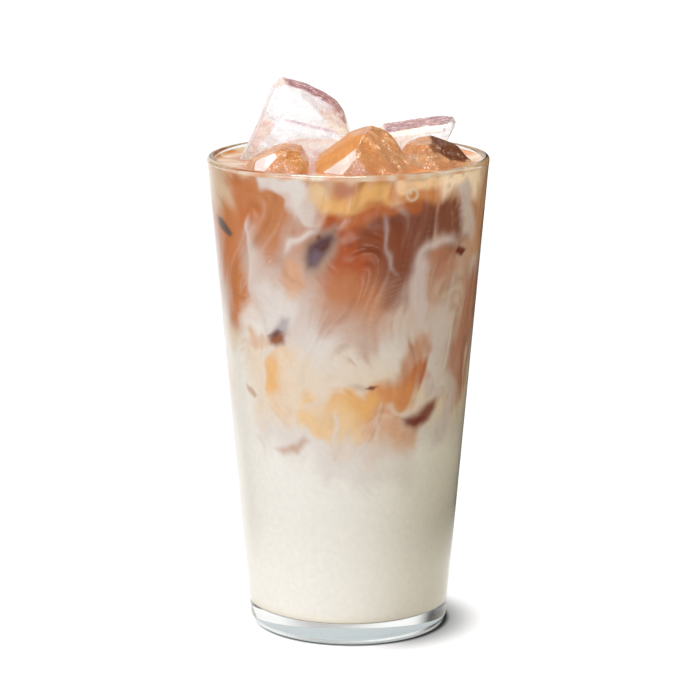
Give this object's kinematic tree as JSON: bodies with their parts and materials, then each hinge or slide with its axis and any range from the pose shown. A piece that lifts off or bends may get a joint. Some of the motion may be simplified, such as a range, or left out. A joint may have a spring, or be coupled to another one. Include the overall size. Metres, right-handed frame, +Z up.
{
  "type": "iced latte",
  "caption": "Iced latte in a clear conical tumbler: a milk layer, a marbled coffee layer above it, and ice blocks standing out of the drink.",
  "frame": {"origin": "middle of the foot, on the surface that the glass stands on", "axes": "+Z up along the glass's axis, -Y towards the side that faces the viewer, +X to the viewer's right"},
  "size_m": [0.088, 0.088, 0.1722],
  "materials": {
    "glass": "clear pressed soda-lime glass, fire polished",
    "milk": null,
    "coffee": null,
    "clear_ice": "clear wet ice",
    "coffee_ice": "wet ice tinted by coffee"
  },
  "bodies": {
    "root": {"glass": "glass", "milk": "milk", "coffee": "coffee", "ice_back_left": "clear_ice", "ice_back_right": "clear_ice", "ice_centre": "coffee_ice", "ice_front_left": "coffee_ice", "ice_right": "coffee_ice"}
  },
  "joints": []
}
